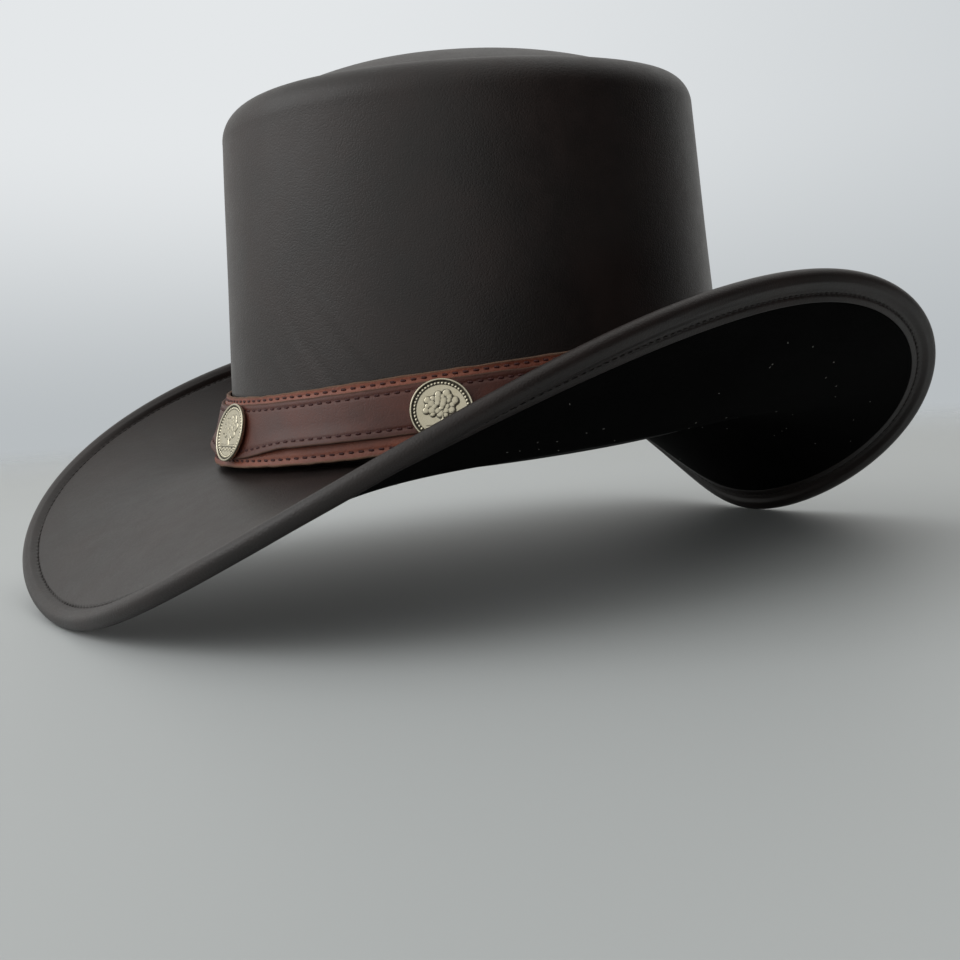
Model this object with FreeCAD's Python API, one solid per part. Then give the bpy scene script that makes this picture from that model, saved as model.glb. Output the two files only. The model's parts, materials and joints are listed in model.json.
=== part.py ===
import FreeCAD, Part
import math
import os

# Leather top hat of the kind worn with a pirate costume: oval crown, curled brim
# and a coin-studded hatband. Millimetres.
#
# It is drawn in the crown's own frame: front (the wearer's face) at -Y, the
# wearer's left at +X, Z = 0 where the crown meets the brim. At the end every
# piece is tipped and shifted so that the hat stands on the front and rear of its
# brim, with the origin at the bottom centre of its bounding box.
#
# Places round the hat are given by the angle of the outward normal: 0 at the
# front, 90 at the wearer's left, 180 at the rear.

Vector = FreeCAD.Vector

# --- Driving dimensions ---------------------------------------------------------
STATIONS, SECTORS = 72, 8            # control stations and faces round every full ring
TUBE_SIDES = 12

base_a, base_b = 108.0, 89.0         # crown's outer half-length and half-width at Z = 0
top_a, top_b = 98.3, 86.0            # the same where the wall ends
top_shift = 3.7                      # the top oval sits this far to the rear
wall_height = 120.0                  # top of the straight wall
wall_foot = 2.1                      # the wall stands on the bend of the brim's collar
crown_pitch, crown_sway = -1.1, 1.4  # rise of the wall's top at the front, and at both ends
shoulder_in, shoulder_up = 12.5, 12.5  # rounded edge above the wall
dome_height = 16.0                   # crown's domed top above its seam
dome_power = 2.2

leather = 2.0
seam_flange = 6.0                    # turned-down allowances of the top seam
flange_bend = 3.0                    # height of the bend between flange and panel
edge_bevel = 0.6                     # softening of folded edges
joint_gap = 0.1                      # between glued or sewn pieces
butt_gap = 0.2                       # between the wall's two ends at the rear
seam_height = wall_height + shoulder_up
seam_inset = shoulder_in + leather

# Brim: straight distance from the crown to the wire, and that line's slope, as
# sums of cosines of 0, 1, 2 ... times the angle round the hat
brim_reach = (78.0, -1.0, 9.0, 1.0, -3.7)
brim_slope = (2.5, 3.1, -39.2, 8.0, -0.9, -0.1, -0.5)
break_slope = (-12.0, 10.0, -10.0)   # slope where the brim leaves the crown
brim_rows = 13
felt = 1.4
wire_radius = 1.0
wire_channel = 1.15
edge_radius = 3.0                    # rolled edge round the wire
hem_width = 8.5                      # turned hem, from the wire inward
hem = 1.6
hem_top = -0.12                      # glue line between the hem and the leather above it
edge_swell = 6.0                     # width over which the leather thickens to the roll
edge_stitch_in = 4.0                 # stitch line, from the wire inward
collar_height = 10.0                 # inner margin of the brim, turned up inside the crown
felt_glue = 0.15                     # glue line above the felt

sweat_height, sweat = 38.0, 1.0      # sweatband
sweat_bottom = -3.5
reed_radius = 1.0
sweat_inset = 2 * leather + joint_gap + 0.15
lining = 0.4
lining_inset = 3.3                   # lining's outer face, from the wall's outer face
lining_bottom, lining_top = 12.0, 118.0
tip_rise = 4.0                       # the lining's tip bellies up by this
tape_width, tape = 16.0, 0.5
back_rows = 4.0                      # stitch rows either side of the rear seam

thread_width, thread = 0.8, 0.3
thread_gap = 0.15                    # threads lie this far off the surface they are sewn on

band_bottom, band_sway = 2.6, 1.6    # lower edge of the strap above the brim
strap_width, strap = 26.0, 1.3
overlay_width, overlay = 17.0, 1.2
overlay_rise = 5.7                   # overlay's lower edge above the strap's
band_fit_top = 0.3                   # strap's clearance at its upper edge
band_flare = (2.65, 2.6, 1.75)       # strap's offset at its lower edge, a sum of cosines
strap_margins = (2.4, 1.8)           # stitch lines from the strap's lower and upper edges
overlay_margin = 2.4                 # stitch lines from the overlay's edges
lap_angle, lap_ramp = 7.0, 9.0       # half the lap, and the rise of its upper end, degrees
lap_stitch_angle = 4.5               # the lap's two stitch lines, either side of the rear
lap_stitch_margin = 3.5              # and their ends, from the strap's edges

coin_count = 7
coin_crowding = 0.962                # coins sit a little closer than evenly, to clear the lap
coin_radius, coin, coin_rim = 10.6, 0.9, 0.3
coin_border = 1.3                    # width of the coin's rim
coin_height = 12.2                   # coin centres above the strap's lower edge
back_depth = strap + overlay + joint_gap + thread + 2 * thread_gap   # coins lie on the stitches
post_radius, post_bore = 2.0, 1.3
screw_radius, screw_head_radius, screw_head = 1.2, 4.0, 0.6
screw_sink = 0.1                     # screw heads lie this far below the strap's inner face
slot_width, slot_depth = 0.9, 0.25
hole_clearance = 0.1


# --- Curves and solids ------------------------------------------------------------
def cosines(terms, angle):
    """Sum of terms[k] * cos(k * angle), the angle in degrees."""
    return sum(term * math.cos(math.radians(k * angle)) for k, term in enumerate(terms))


def stations():
    return [360.0 * k / STATIONS for k in range(STATIONS)]


def outward(angle):
    return Vector(math.sin(math.radians(angle)), -math.cos(math.radians(angle)), 0)


def oval(a, b, angle):
    """Point of an oval whose outward normal points along the given angle."""
    s, c = math.sin(math.radians(angle)), math.cos(math.radians(angle))
    scale = math.sqrt(b * b * s * s + a * a * c * c)
    return Vector(b * b * s / scale, -a * a * c / scale, 0)


def surface(rows):
    """Faces of a B-spline surface with the given rows of poles, each row running
    round the hat. The surface is divided into equal sectors."""
    count, depth = len(rows[0]), len(rows)
    degree = min(3, depth - 1)
    inner = depth - degree - 1
    knots_v = [float(k) for k in range(inner + 2)]
    mults_v = [degree + 1] + [1] * inner + [degree + 1]
    poles = [[row[i] for row in rows] for i in range(count)]
    whole = Part.BSplineSurface()
    whole.buildFromPolesMultsKnots(poles, [1] * (count + 1), mults_v,
                                   [float(k) for k in range(count + 1)], knots_v,
                                   True, False, 3, degree)
    faces = []
    span = count // SECTORS
    for sector in range(SECTORS):
        piece = whole.copy()
        piece.segment(sector * span, (sector + 1) * span, knots_v[0], knots_v[-1])
        faces.append(piece.toShape())
    return faces


def closed_solid(faces):
    """Sew faces into one solid with its normals outward."""
    shell = Part.makeShell(faces)
    shell.sewShape()
    solid = Part.makeSolid(Part.Shell(shell.Faces))
    if solid.Volume < 0:
        solid.reverse()
    solid.fix(0.001, 0.001, 0.001)
    return solid


def ring(strips):
    """Ring solid whose section is a closed loop of strips.

    A strip is a list of row functions of the angle; each strip ends on the row
    that the next one starts with."""
    faces = []
    for strip in strips:
        faces += surface([[row(angle) for angle in stations()] for row in strip])
    return closed_solid(faces)


def facets(rows):
    """The strips between neighbouring rows, each straight across."""
    return [[here, there] for here, there in zip(rows, rows[1:])]


def loop(corners):
    """Ring with straight-sided section through the given row functions."""
    return ring(facets(corners + corners[:1]))


def tube(centre_line, radius):
    """Ring of many-sided round section about a closed centre line, which gives a point and
    two unit directions across it."""
    def row(turn):
        def place(angle):
            point, across, up = centre_line(angle)
            c, s = math.cos(math.radians(turn)), math.sin(math.radians(turn))
            return point + across * (radius * c) + up * (radius * s)
        return place
    return loop([row(360 * k / TUBE_SIDES) for k in range(TUBE_SIDES)])


# --- Crown ------------------------------------------------------------------------
def crown_point(angle, inset, height):
    """Point at a height of the crown, inset from its outer wall along the normal."""
    share = min(max(height, 0.0), wall_height) / wall_height
    a = base_a + (top_a - base_a) * share
    b = base_b + (top_b - base_b) * share
    lift = (crown_pitch * math.cos(math.radians(angle))
            + crown_sway * math.cos(math.radians(2 * angle))) * share
    point = oval(a, b, angle) - outward(angle) * inset
    return point + Vector(0, top_shift * share, height + lift)


def crown_row(inset, height):
    return lambda angle: crown_point(angle, inset, height)


def shoulder_rows(depth, turns):
    """Rows of the rounded shoulder, at a depth below its outer surface."""
    rows = []
    for turn in turns:
        c, s = math.cos(math.radians(turn)), math.sin(math.radians(turn))
        size = math.hypot(c / shoulder_in, s / shoulder_up)
        normal_in, normal_up = c / shoulder_in / size, s / shoulder_up / size
        inset = shoulder_in * (1 - c) + depth * normal_in
        rows.append(crown_row(inset, wall_height + shoulder_up * s - depth * normal_up))
    return rows


def make_crown_wall():
    heights = [wall_foot, 15, 35, 55, 75, 95, 108]
    turns_up = [0, 15, 30, 45, 60, 75, 90]
    outside = [crown_row(0, height) for height in heights] + shoulder_rows(0, turns_up)
    outside += [crown_row(seam_inset - edge_bevel, seam_height)]
    outside += [crown_row(seam_inset, seam_height - edge_bevel)]
    outside += [crown_row(seam_inset, seam_height - seam_flange)]
    inside = [crown_row(seam_inset - leather, seam_height - seam_flange)]
    inside += [crown_row(seam_inset - leather, seam_height - flange_bend)]
    inside += list(reversed(shoulder_rows(leather, turns_up[:-1])))
    inside += [crown_row(leather, height) for height in reversed(heights)]
    strips = [outside, [outside[-1], inside[0]], inside, [inside[-1], outside[0]]]
    wall = ring(strips)
    # the strip's two ends butt together at the rear
    inner = base_b / 2
    seam = Part.makeBox(butt_gap, base_a, 2 * wall_height, Vector(-butt_gap / 2, inner, -inner))
    return wall.cut(seam).Solids[0]


def dome_row(share, depth):
    """Row of the domed top: share 1 at its rim, 0 at its middle."""
    rise = dome_height * (1 - share ** dome_power)
    def place(angle):
        rim = crown_point(angle, seam_inset + joint_gap + leather / 2, seam_height)
        middle = Vector(0, top_shift, seam_height)
        return middle + (rim - middle) * share + Vector(0, 0, rise - depth)
    return place


def make_crown_top():
    shares = [0.97, 0.9, 0.8, 0.68, 0.55, 0.42, 0.3, 0.18, 0.08, 0.0]
    near = seam_inset + joint_gap
    upper = [crown_row(near, seam_height - seam_flange)]
    upper += [crown_row(near, seam_height - flange_bend)]
    upper += [crown_row(near, seam_height - edge_bevel)]
    upper += [crown_row(near + edge_bevel - joint_gap, seam_height + joint_gap)]
    upper += [dome_row(share, 0) for share in shares]
    lower = [dome_row(share, leather) for share in reversed(shares[1:])]
    lower += [crown_row(near + leather + edge_bevel, seam_height - 2 * edge_bevel)]
    lower += [crown_row(near + leather, seam_height - flange_bend)]
    lower += [crown_row(near + leather, seam_height - seam_flange)]
    return ring([upper, lower, [lower[-1], upper[0]]])


def flat_thread(inset, height):
    """Thread lying on the inside of a wall: a thin strap of the thread's width."""
    low, high = height - thread_width / 2, height + thread_width / 2
    return loop([crown_row(inset, low), crown_row(inset, high),
                 crown_row(inset + thread, high), crown_row(inset + thread, low)])


def make_crown_top_thread():
    inset = seam_inset + joint_gap + leather + thread_gap
    return flat_thread(inset, seam_height - seam_flange * 2 / 3)


def rear_strip(inset, thickness, low, high, left, right):
    """Strip up the inside of the rear wall between two distances across it."""
    bend = base_b * base_b / base_a          # the wall's radius at the rear
    steps = 4
    sections = []
    for k in range(steps + 1):
        across = left + (right - left) * k / steps
        angle = 180 - math.degrees(across / bend)
        corners = [crown_point(angle, inset, low), crown_point(angle, inset, high),
                   crown_point(angle, inset + thickness, high),
                   crown_point(angle, inset + thickness, low)]
        sections.append(Part.makePolygon(corners + corners[:1]))
    return Part.makeLoft(sections, True, False)


def make_crown_back_tape():
    half = tape_width / 2
    low, high = collar_height + 1.5, wall_height - 6
    return rear_strip(leather + joint_gap, tape, low, high, -half, half)


def make_crown_back_thread():
    inset = leather + joint_gap + tape + thread_gap
    rows = []
    low, high = collar_height + 4, wall_height - 8
    for across in (-back_rows, back_rows):
        left, right = across - thread_width / 2, across + thread_width / 2
        rows.append(rear_strip(inset, thread, low, high, left, right))
    return Part.makeCompound(rows)


def make_lining_side():
    heights = [lining_bottom, 30, 60, 90, lining_top]
    outside = [crown_row(lining_inset, height) for height in heights]
    inside = [crown_row(lining_inset + lining, height) for height in reversed(heights)]
    return ring([outside, [outside[-1], inside[0]], inside, [inside[-1], outside[0]]])


def make_lining_tip():
    def tip_row(share, depth):
        def place(angle):
            rim = crown_point(angle, lining_inset + lining + 0.3, lining_top)
            middle = Vector(0, top_shift, lining_top)
            rise = tip_rise * (1 - share * share)
            return middle + (rim - middle) * share + Vector(0, 0, rise - depth)
        return place
    shares = [1.0, 0.8, 0.55, 0.3, 0.0]
    upper = [tip_row(share, 0) for share in shares]
    lower = [tip_row(share, lining) for share in reversed(shares)]
    return ring([upper, lower, [lower[-1], upper[0]]])


# --- Brim -------------------------------------------------------------------------
def brim_middle(angle, share):
    """Underside of the brim's leather: share 0 at the crown, 1 at the wire."""
    reach, slope = cosines(brim_reach, angle), cosines(brim_slope, angle)
    start = cosines(break_slope, angle)
    end = 2 * slope - start
    handle = 0.36 * reach
    points = [(0.0, -leather)]
    points += [(handle * math.cos(math.radians(start)),
                -leather + handle * math.sin(math.radians(start)))]
    wire = (reach * math.cos(math.radians(slope)), reach * math.sin(math.radians(slope)))
    points += [(wire[0] - handle * math.cos(math.radians(end)),
                wire[1] - handle * math.sin(math.radians(end)))]
    points += [wire]
    weights = ((1 - share) ** 3, 3 * share * (1 - share) ** 2, 3 * share ** 2 * (1 - share),
               share ** 3)
    out = sum(weight * point[0] for weight, point in zip(weights, points))
    up = sum(weight * point[1] for weight, point in zip(weights, points))
    return oval(base_a, base_b, angle) + outward(angle) * out + Vector(0, 0, up)


def brim_axes(angle, share):
    """Unit normal (upward) and unit direction across the brim, away from the crown."""
    step = 0.004
    low, high = max(share - step, 0.0), min(share + step, 1.0)
    across = brim_middle(angle, high) - brim_middle(angle, low)
    around = brim_middle(angle + 0.5, share) - brim_middle(angle - 0.5, share)
    normal = across.cross(around)
    normal.normalize()
    outer = around.cross(normal)
    outer.normalize()
    return normal, outer


def brim_point(angle, inward, height):
    """Point above the leather's underside, at a distance inward from the wire."""
    share = 1 - inward / brim_length(angle)
    normal, _ = brim_axes(angle, share)
    return brim_middle(angle, share) + normal * height


lengths = {}


def brim_length(angle):
    """Length of the brim's section from the crown to the wire."""
    if angle not in lengths:
        marks = [brim_middle(angle, k / 24) for k in range(25)]
        lengths[angle] = sum(marks[k].distanceToPoint(marks[k + 1]) for k in range(24))
    return lengths[angle]


def brim_row(share, height):
    """Row at a share of the brim between the break and the start of the rolled edge."""
    def place(angle):
        length = brim_length(angle)
        return brim_point(angle, length * (1 - share), height)
    return place


def edge_row(inward, height):
    """Row at a fixed distance inward from the wire."""
    return lambda angle: brim_point(angle, inward, height)


def roll_row(turn, radius):
    """Row round the wire: 0 on top, 90 outermost, 180 underneath."""
    def place(angle):
        normal, outer = brim_axes(angle, 1.0)
        c, s = math.cos(math.radians(turn)), math.sin(math.radians(turn))
        return brim_middle(angle, 1.0) + normal * (radius * c) + outer * (radius * s)
    return place


def low_row(out, height):
    """Row near the break, by its distance out from the crown wall and its height."""
    return lambda angle: oval(base_a, base_b, angle) + outward(angle) * out + Vector(0, 0, height)


def inner_shares():
    """Shares of the brim at which its middle stretch has rows."""
    first, last, steps = 0.06, 0.82, brim_rows - 4
    return [first + (last - first) * k / steps for k in range(steps + 1)]


def make_brim_leather():
    outside = leather + joint_gap        # collar's face against the crown wall
    inside = outside + leather
    upper = [crown_row(outside, height) for height in (collar_height, 6, 1.8)]
    upper += [low_row(-outside + 0.3, 0.1), brim_row(0.02, leather)]
    upper += [brim_row(share, leather) for share in inner_shares()]
    upper += [edge_row(edge_swell, leather), edge_row(edge_stitch_in + 0.6, leather)]
    upper += [edge_row(edge_stitch_in - 0.6, leather), edge_row(edge_swell * 0.35, edge_radius)]
    upper += [roll_row(0, edge_radius)]
    roll = [roll_row(turn, edge_radius) for turn in range(0, 181, 15)]
    under = [roll_row(180, edge_radius), edge_row(edge_swell * 0.3, -edge_radius + 0.2)]
    under += [edge_row(edge_swell * 0.6, -hem - 0.2), edge_row(hem_width, -hem)]
    hem_end = [edge_row(hem_width, -hem), edge_row(hem_width, hem_top)]
    hem_face = [edge_row(hem_width, hem_top), edge_row(edge_swell * 0.7, hem_top)]
    hem_face += [edge_row(3.0, hem_top), edge_row(wire_channel + 0.3, hem_top)]
    hem_face += [roll_row(258, wire_channel)]
    channel = [roll_row(258 - 348 * k / TUBE_SIDES, wire_channel) for k in range(TUBE_SIDES + 1)]
    lower = [roll_row(-90, wire_channel), edge_row(3.0, 0), edge_row(edge_swell, 0)]
    lower += [brim_row(share, 0) for share in reversed(inner_shares())]
    lower += [low_row(-inside + 1.2, -leather + 0.2)]
    lower += [crown_row(inside, height) for height in (0.8, 6, collar_height)]
    strips = [upper] + facets(roll) + [under, hem_end, hem_face] + facets(channel)
    return ring(strips + [lower, [lower[-1], upper[0]]])


def make_brim_felt():
    top, bottom = -felt_glue, -felt_glue - felt
    start, start_height = -leather - 1.0, -leather - 0.2 - felt_glue
    upper = [low_row(start, start_height)]
    upper += [brim_row(share, top) for share in inner_shares()]
    upper += [edge_row(hem_width + 0.4, top)]
    lower = [edge_row(hem_width + 0.4, bottom)]
    lower += [brim_row(share, bottom) for share in reversed(inner_shares())]
    lower += [low_row(start, start_height - felt)]
    return ring([upper, [upper[-1], lower[0]], lower, [lower[-1], upper[0]]])


def wire_line(angle):
    normal, outer = brim_axes(angle, 1.0)
    return brim_middle(angle, 1.0), outer, normal


def make_brim_wire():
    return tube(wire_line, wire_radius)


def make_brim_thread(under=False):
    middle = edge_stitch_in + (1.6 if under else 0.0)
    low = -hem - 0.45 - thread if under else leather + 0.3
    near, far = middle - thread_width / 2, middle + thread_width / 2
    return loop([edge_row(near, low), edge_row(near, low + thread),
                 edge_row(far, low + thread), edge_row(far, low)])


def make_brim_join_thread():
    return flat_thread(2 * leather + joint_gap + thread_gap, collar_height - 1.4)


# --- Sweatband --------------------------------------------------------------------
def make_sweatband():
    heights = [sweat_bottom, 0, 6, 20, sweat_bottom + sweat_height]
    # above its sewn foot it stands away from the thread of the brim's collar
    stand_off = thread + 2 * thread_gap
    insets = [sweat_inset + stand_off * share for share in (0, 0.3, 1, 1, 1)]
    outside = [crown_row(inset, height) for inset, height in zip(insets, heights)]
    inside = [crown_row(inset + sweat, height) for inset, height in zip(insets, heights)]
    inside.reverse()
    return ring([outside, [outside[-1], inside[0]], inside, [inside[-1], outside[0]]])


def make_sweatband_reed():
    def line(angle):
        point = crown_point(angle, sweat_inset + sweat / 2, sweat_bottom - reed_radius - 0.1)
        return point, outward(angle), Vector(0, 0, 1)
    return tube(line, reed_radius)


def make_sweatband_thread():
    return flat_thread(sweat_inset + sweat + 0.1 + thread_gap, sweat_bottom + 2.2)


# --- Hatband ----------------------------------------------------------------------
def band_frame(angle):
    """Foot of the strap's inner face, and its unit directions up and outward."""
    bottom = band_bottom - band_sway * math.cos(math.radians(2 * angle))
    foot = crown_point(angle, -cosines(band_flare, angle), bottom)
    head = crown_point(angle, -band_fit_top, bottom + strap_width)
    up = head - foot
    up.normalize()
    around = crown_point(angle + 0.5, 0, bottom) - crown_point(angle - 0.5, 0, bottom)
    out = around.cross(up)
    out.normalize()
    return foot, up, out


def lap_lift(turn):
    """How far the strap's upper end has climbed; turn runs from one end to the other."""
    end = 180 + lap_angle
    start = end - 2 * lap_angle - lap_ramp
    share = min(max((turn - start) / lap_ramp, 0.0), 1.0)
    return (strap + joint_gap) * share * share * (3 - 2 * share)


def band_point(turn, height, depth):
    """Point of the band: height up the strap, depth outward from its inner face."""
    foot, up, out = band_frame(turn)
    return foot + up * height + out * (depth + lap_lift(turn))


def band_turns(start, end):
    """Stations from one end of the band to the other, on a common raster."""
    raster = 3.0
    turns = [raster * k for k in range(-80, 81) if start + 1 < raster * k < end - 1]
    return [start] + turns + [end]


def band_strip(low, high, near, far, start, end):
    sections = []
    for turn in band_turns(start, end):
        corners = [band_point(turn, low, near), band_point(turn, high, near),
                   band_point(turn, high, far), band_point(turn, low, far)]
        sections.append(Part.makePolygon(corners + corners[:1]))
    return Part.makeLoft(sections, True, False)


def coin_angles():
    """Angles that space the coins along the strap, the first at the front."""
    steps = 1440
    marks = [band_frame(360.0 * k / steps)[0] for k in range(steps + 1)]
    lengths_along = [0.0]
    for k in range(steps):
        lengths_along.append(lengths_along[-1] + marks[k].distanceToPoint(marks[k + 1]))
    angles = []
    for coin_index in range(coin_count):
        steps_round = min(coin_index, coin_count - coin_index)
        target = coin_crowding * lengths_along[-1] * steps_round / coin_count
        nearest = min(range(steps), key=lambda k: abs(lengths_along[k] - target))
        side = 1 if steps_round == coin_index else -1
        angles.append(side * 360.0 * nearest / steps)
    return angles


def on_band(shape, angle, height, depth):
    """Turn a solid made along +Z so that +Z leads out of the band at this place."""
    foot, up, out = band_frame(angle)
    side = up.cross(out)
    matrix = FreeCAD.Matrix(side.x, up.x, out.x, 0, side.y, up.y, out.y, 0,
                            side.z, up.z, out.z, 0, 0, 0, 0, 1)
    place = FreeCAD.Placement(matrix)
    place.Base = band_point(angle, height, depth)
    moved = shape.copy()
    moved.Placement = place
    return moved


def cylinder(radius, low, high):
    return Part.makeCylinder(radius, high - low, Vector(0, 0, low))


def make_strap():
    body = band_strip(0, strap_width, 0, strap, -180 - lap_angle, 180 + lap_angle)
    for angle in coin_angles():
        hole = cylinder(post_radius + hole_clearance, -3, strap + 3)
        sink = cylinder(screw_head_radius + hole_clearance, -3, screw_head + screw_sink)
        body = body.cut(on_band(hole.fuse(sink), angle, coin_height, 0))
    return body.Solids[0]


def make_overlay():
    start, end = -180 + lap_angle + 1.2, 180 + lap_angle - 1.2
    low, high = overlay_rise, overlay_rise + overlay_width
    near = strap + joint_gap
    body = band_strip(low, high, near, near + overlay, start, end)
    for angle in coin_angles():
        hole = cylinder(post_radius + hole_clearance, -3, back_depth + 4)
        body = body.cut(on_band(hole, angle, coin_height, 0))
    return body.Solids[0]


def band_thread(height, near):
    half = thread_width / 2
    start, end = -180 + lap_angle + 2.0, 180 + lap_angle - 2.0
    near += thread_gap
    return band_strip(height - half, height + half, near, near + thread, start, end)


def make_lap_thread():
    """Two upright stitch lines through the lap, outside the overlay's upper face."""
    near = strap + joint_gap + overlay + thread + 2 * thread_gap
    reach = math.degrees(thread_width / base_a)
    rows = []
    for middle in (180 - lap_stitch_angle, 180 + lap_stitch_angle):
        rows.append(band_strip(lap_stitch_margin, strap_width - lap_stitch_margin, near,
                               near + thread, middle - reach / 2, middle + reach / 2))
    return Part.makeCompound(rows)


def make_coin():
    """Struck disc with a raised rim."""
    blank = cylinder(coin_radius, 0, coin + coin_rim)
    edges = [edge for edge in blank.Edges if edge.Length > 1 and edge.Closed]
    blank = blank.makeFillet(0.3, edges)
    field = Part.makeCone(coin_radius - coin_border, coin_radius - coin_border + 0.3,
                          coin_rim + 0.1, Vector(0, 0, coin))
    return blank.cut(field)


def make_post():
    """Threaded tube soldered to the coin's back."""
    length = back_depth - screw_head - screw_sink
    return cylinder(post_radius, -length, 0).cut(cylinder(post_bore, -length, -0.6))


def make_screw():
    """Low-headed screw from the strap's inner side; +Z leads out of the band."""
    low = 0.05
    head = cylinder(screw_head_radius, low, screw_head)
    slot = Part.makeBox(2 * screw_head_radius, slot_width, slot_depth,
                        Vector(-screw_head_radius, -slot_width / 2, low))
    shank = cylinder(screw_radius, screw_head, back_depth - 1.0)
    return head.cut(slot).fuse(shank).removeSplitter()


# --- Assembly ---------------------------------------------------------------------
def make_nodes():
    nodes = {
        "crown_wall": make_crown_wall(),
        "crown_top": make_crown_top(),
        "crown_top_thread": make_crown_top_thread(),
        "crown_back_tape": make_crown_back_tape(),
        "crown_back_thread": make_crown_back_thread(),
        "lining_side": make_lining_side(),
        "lining_tip": make_lining_tip(),
        "brim_leather": make_brim_leather(),
        "brim_felt": make_brim_felt(),
        "brim_wire": make_brim_wire(),
        "brim_edge_thread_top": make_brim_thread(),
        "brim_edge_thread_under": make_brim_thread(under=True),
        "brim_join_thread": make_brim_join_thread(),
        "sweatband": make_sweatband(),
        "sweatband_reed": make_sweatband_reed(),
        "sweatband_thread": make_sweatband_thread(),
        "band_strap": make_strap(),
        "band_overlay": make_overlay(),
    }
    overlay_face = strap + joint_gap + overlay
    overlay_top = overlay_rise + overlay_width
    nodes["strap_thread_lower"] = band_thread(strap_margins[0], strap)
    nodes["strap_thread_upper"] = band_thread(strap_width - strap_margins[1], strap)
    nodes["overlay_thread_lower"] = band_thread(overlay_rise + overlay_margin, overlay_face)
    nodes["overlay_thread_upper"] = band_thread(overlay_top - overlay_margin, overlay_face)
    for number, angle in enumerate(coin_angles(), 1):
        nodes["coin_%d" % number] = on_band(make_coin(), angle, coin_height, back_depth)
        nodes["coin_post_%d" % number] = on_band(make_post(), angle, coin_height, back_depth)
        nodes["coin_screw_%d" % number] = on_band(make_screw(), angle, coin_height, 0)
    nodes["lap_thread"] = make_lap_thread()
    return nodes


def stand_up():
    """Tilt and shift that stand the hat on the front and rear of its brim."""
    front, rear = brim_middle(0, 1.0), brim_middle(180, 1.0)
    tilt = math.degrees(math.atan2(front.z - rear.z, rear.y - front.y))
    turn = FreeCAD.Rotation(Vector(1, 0, 0), tilt)
    rim = [turn.multVec(brim_middle(angle, 1.0)) for angle in range(0, 360, 2)]
    middle = (min(point.y for point in rim) + max(point.y for point in rim)) / 2
    bottom = min(point.z for point in rim) - edge_radius
    return FreeCAD.Placement(Vector(0, -middle, -bottom), turn)


os.makedirs("parts", exist_ok=True)
standing = stand_up()
print("tilt %.3f deg, shift %s" % (math.degrees(standing.Rotation.Angle), standing.Base))
for name, shape in make_nodes().items():
    placed = shape.copy()
    placed.Placement = standing.multiply(shape.Placement)
    placed.exportStep("parts/%s.step" % name)
    print(name, "solids", len(placed.Solids), "valid", placed.isValid(),
          "volume %.1f" % placed.Volume)
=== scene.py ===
import json
import math

import bmesh
import bpy
import numpy as np
from mathutils import Matrix, Vector


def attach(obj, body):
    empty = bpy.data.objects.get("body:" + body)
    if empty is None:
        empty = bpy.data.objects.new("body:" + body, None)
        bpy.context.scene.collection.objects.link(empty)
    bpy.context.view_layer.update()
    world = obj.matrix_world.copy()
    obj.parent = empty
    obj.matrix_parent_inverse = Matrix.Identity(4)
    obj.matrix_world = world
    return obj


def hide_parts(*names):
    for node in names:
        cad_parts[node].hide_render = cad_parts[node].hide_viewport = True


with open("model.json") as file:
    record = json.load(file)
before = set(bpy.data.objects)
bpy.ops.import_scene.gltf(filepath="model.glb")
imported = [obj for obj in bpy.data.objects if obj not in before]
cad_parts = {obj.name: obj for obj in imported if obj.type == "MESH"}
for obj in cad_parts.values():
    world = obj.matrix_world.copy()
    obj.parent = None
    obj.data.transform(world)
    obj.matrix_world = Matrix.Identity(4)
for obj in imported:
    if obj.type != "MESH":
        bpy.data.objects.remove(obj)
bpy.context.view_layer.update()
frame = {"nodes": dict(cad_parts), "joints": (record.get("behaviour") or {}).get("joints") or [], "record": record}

# --- Crown wall ---------------------------------------------------------------------
# One strip of firm brown-black cowhide, 2 mm thick, bent to an oval tube and butted at
# the rear. Its top is blocked over into a round shoulder and turned down inside, where
# the top panel is sewn to it. Everything is drawn in the crown's own frame: front at -Y,
# the wearer's left at +X, height 0 where the crown meets the brim, and places round the
# hat by the angle of the outward normal, 0 at the front.
foot_long, foot_wide = 0.108, 0.089      # half-length and half-width at the brim
top_long, top_wide = 0.0983, 0.086       # the same where the straight wall ends
top_shift = 0.0037                       # the upper oval sits this far to the rear
wall_height = 0.120
wall_pitch, wall_sway = -0.0011, 0.0014  # the upper edge's rise at the front, at both ends
shoulder_in, shoulder_up = 0.0125, 0.0125
leather = 0.002
wall_foot = 0.0021
seam_flange = 0.006
seam_height, seam_inset = wall_height + shoulder_up, shoulder_in + leather
stations = 720

crown_axis = np.array(frame["joints"][0]["axis"])
mouth = np.array(frame["record"]["mounts"][0]["pos_m"])
mouth_depth = 0.0046                     # head opening below the crown's foot
crown_foot = mouth + mouth_depth * crown_axis


def stand(points):
    """Points of the crown's frame, turned and shifted to the standing hat."""
    rear = np.cross(crown_axis, (1.0, 0.0, 0.0))
    left = np.array((1.0, 0.0, 0.0))
    return points[..., :1] * left + points[..., 1:2] * rear + points[..., 2:] * crown_axis + crown_foot


def outward(angle):
    return np.stack([np.sin(angle), -np.cos(angle), 0 * angle], -1)


def raised(height):
    return np.stack([0 * height, 0 * height, height], -1)


def oval(long_half, wide_half, angle):
    """Points of an oval whose outward normals point along the given angles."""
    s, c = np.sin(angle), np.cos(angle)
    scale = np.sqrt((wide_half * s) ** 2 + (long_half * c) ** 2)
    return np.stack([wide_half ** 2 * s / scale, -long_half ** 2 * c / scale, 0 * scale], -1)


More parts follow.
